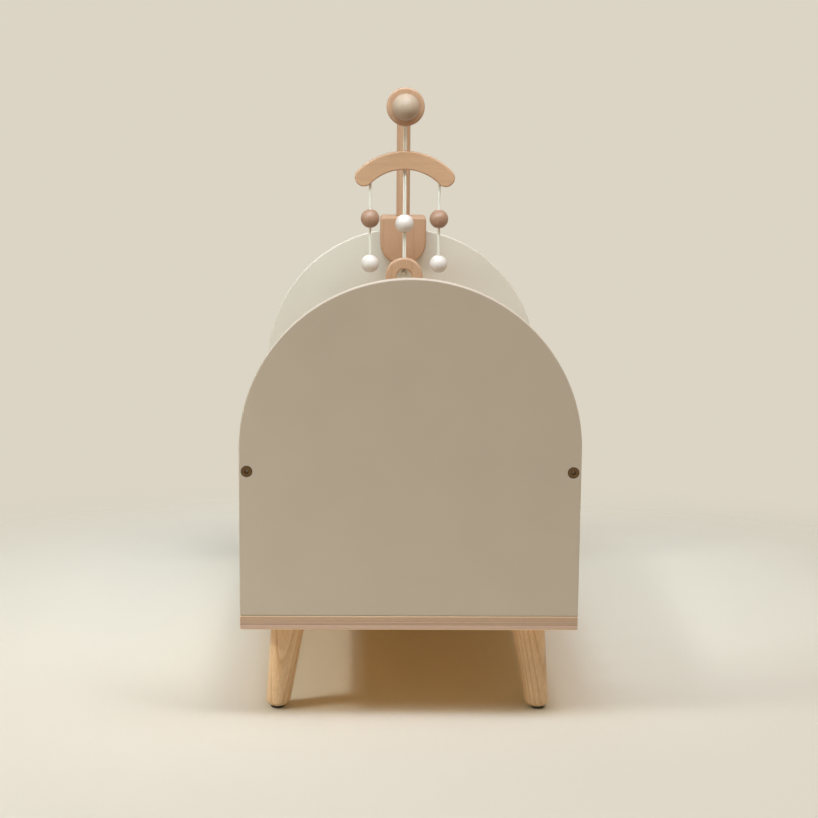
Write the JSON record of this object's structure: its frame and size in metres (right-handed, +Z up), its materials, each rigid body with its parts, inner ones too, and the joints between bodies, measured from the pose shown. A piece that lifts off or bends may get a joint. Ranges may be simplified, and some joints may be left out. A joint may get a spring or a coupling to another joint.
{
  "type": "doll cot",
  "caption": "Doll's cot with arched end panels, spindle sides, splayed turned legs and a lift-off stand that holds a hanging mobile of beads and a rainbow.",
  "frame": {"origin": "on the floor, at the middle of the bounding box", "axes": "+Z up, +Y from the foot panel to the headboard that carries the mobile's stand, +X to the right as seen from the foot"},
  "size_m": [0.3, 0.512, 0.5515],
  "materials": {
    "painted_ply": "satin greige paint over plywood",
    "ply": "plywood with clear satin lacquer, plies showing at its edges",
    "beech": "beech with clear matt oil",
    "pine": "turned pale wood with clear satin lacquer",
    "pale_wood": "pale turned wood, satin",
    "brown_paint": "wooden bead in rose-brown satin paint",
    "white_paint": "wooden bead in off-white satin paint",
    "cotton": "off-white twisted cotton cord",
    "bronze": "steel with an antique bronze coating",
    "zinc": "zinc-plated steel",
    "black": "black moulded plastic glide"
  },
  "bodies": {
    "cot": {"base_board": "ply", "foot_panel": "painted_ply", "head_panel": "painted_ply", "side_rail_left": "painted_ply", "side_rail_right": "painted_ply", "spindle_left_1": "beech", "spindle_left_2": "beech", "spindle_left_3": "beech", "spindle_left_4": "beech", "spindle_left_5": "beech", "spindle_left_6": "beech", "spindle_left_7": "beech", "spindle_right_1": "beech", "spindle_right_2": "beech", "spindle_right_3": "beech", "spindle_right_4": "beech", "spindle_right_5": "beech", "spindle_right_6": "beech", "spindle_right_7": "beech", "rail_screw_1": "bronze", "rail_screw_2": "bronze", "rail_screw_3": "bronze", "rail_screw_4": "bronze", "panel_screw_foot_1": "zinc", "panel_screw_foot_2": "zinc", "panel_screw_head_1": "zinc", "panel_screw_head_2": "zinc", "leg_front_left": "pine", "glide_front_left": "black", "leg_screw_front_left": "zinc", "leg_front_right": "pine", "glide_front_right": "black", "leg_screw_front_right": "zinc", "leg_rear_left": "pine", "glide_rear_left": "black", "leg_screw_rear_left": "zinc", "leg_rear_right": "pine", "glide_rear_right": "black", "leg_screw_rear_right": "zinc"},
    "stand": {"saddle_front": "beech", "saddle_core": "beech", "saddle_rear": "beech", "mobile_post": "beech", "mobile_arm": "beech", "arm_disc": "beech", "arm_ball": "pale_wood"},
    "line": {"hanger_line": "cotton"},
    "hanger_bar": {"hanger": "beech", "left_upper_knot": "cotton", "right_upper_knot": "cotton"},
    "left_drop": {"left_cord": "cotton"},
    "left_brown": {"left_brown_bead": "brown_paint"},
    "left_white": {"left_white_bead": "white_paint"},
    "right_drop": {"right_cord": "cotton"},
    "right_brown": {"right_brown_bead": "brown_paint"},
    "right_white": {"right_white_bead": "white_paint"},
    "centre_drop": {"centre_cord": "cotton"},
    "rainbow": {"rainbow": "beech"},
    "centre_ball": {"centre_bead": "white_paint"}
  },
  "joints": [
    {"name": "mobile_lift", "type": "slide", "parent": "cot", "child": "stand", "axis": [0, 0, 1], "range_m": [0, 0.09]},
    {"name": "line_sway", "type": "hinge", "parent": "stand", "child": "line", "pos_m": [0, 0.139, 0.5315], "axis": [0, 1, 0], "range_deg": [-20, 20]},
    {"name": "hanger_turn", "type": "hinge", "parent": "line", "child": "hanger_bar", "pos_m": [0, 0.139, 0.4851], "axis": [0, 0, 1], "continuous": true},
    {"name": "left_swing", "type": "hinge", "parent": "hanger_bar", "child": "left_drop", "pos_m": [-0.0365, 0.139, 0.4483], "axis": [1, 0, 0], "range_deg": [-30, 30]},
    {"name": "left_brown_turn", "type": "hinge", "parent": "left_drop", "child": "left_brown", "pos_m": [-0.0365, 0.139, 0.4139], "axis": [0, 0, 1], "continuous": true},
    {"name": "left_white_turn", "type": "hinge", "parent": "left_drop", "child": "left_white", "pos_m": [-0.0365, 0.139, 0.3659], "axis": [0, 0, 1], "continuous": true},
    {"name": "right_swing", "type": "hinge", "parent": "hanger_bar", "child": "right_drop", "pos_m": [0.0365, 0.139, 0.4483], "axis": [1, 0, 0], "range_deg": [-30, 30]},
    {"name": "right_brown_turn", "type": "hinge", "parent": "right_drop", "child": "right_brown", "pos_m": [0.0365, 0.139, 0.4139], "axis": [0, 0, 1], "continuous": true},
    {"name": "right_white_turn", "type": "hinge", "parent": "right_drop", "child": "right_white", "pos_m": [0.0365, 0.139, 0.3659], "axis": [0, 0, 1], "continuous": true},
    {"name": "centre_swing", "type": "hinge", "parent": "hanger_bar", "child": "centre_drop", "pos_m": [0, 0.139, 0.4645], "axis": [1, 0, 0], "range_deg": [-30, 30]},
    {"name": "rainbow_turn", "type": "hinge", "parent": "centre_drop", "child": "rainbow", "pos_m": [0, 0.139, 0.3527], "axis": [0, 0, 1], "continuous": true},
    {"name": "centre_ball_turn", "type": "hinge", "parent": "centre_drop", "child": "centre_ball", "pos_m": [0, 0.139, 0.4089], "axis": [0, 0, 1], "continuous": true}
  ]
}
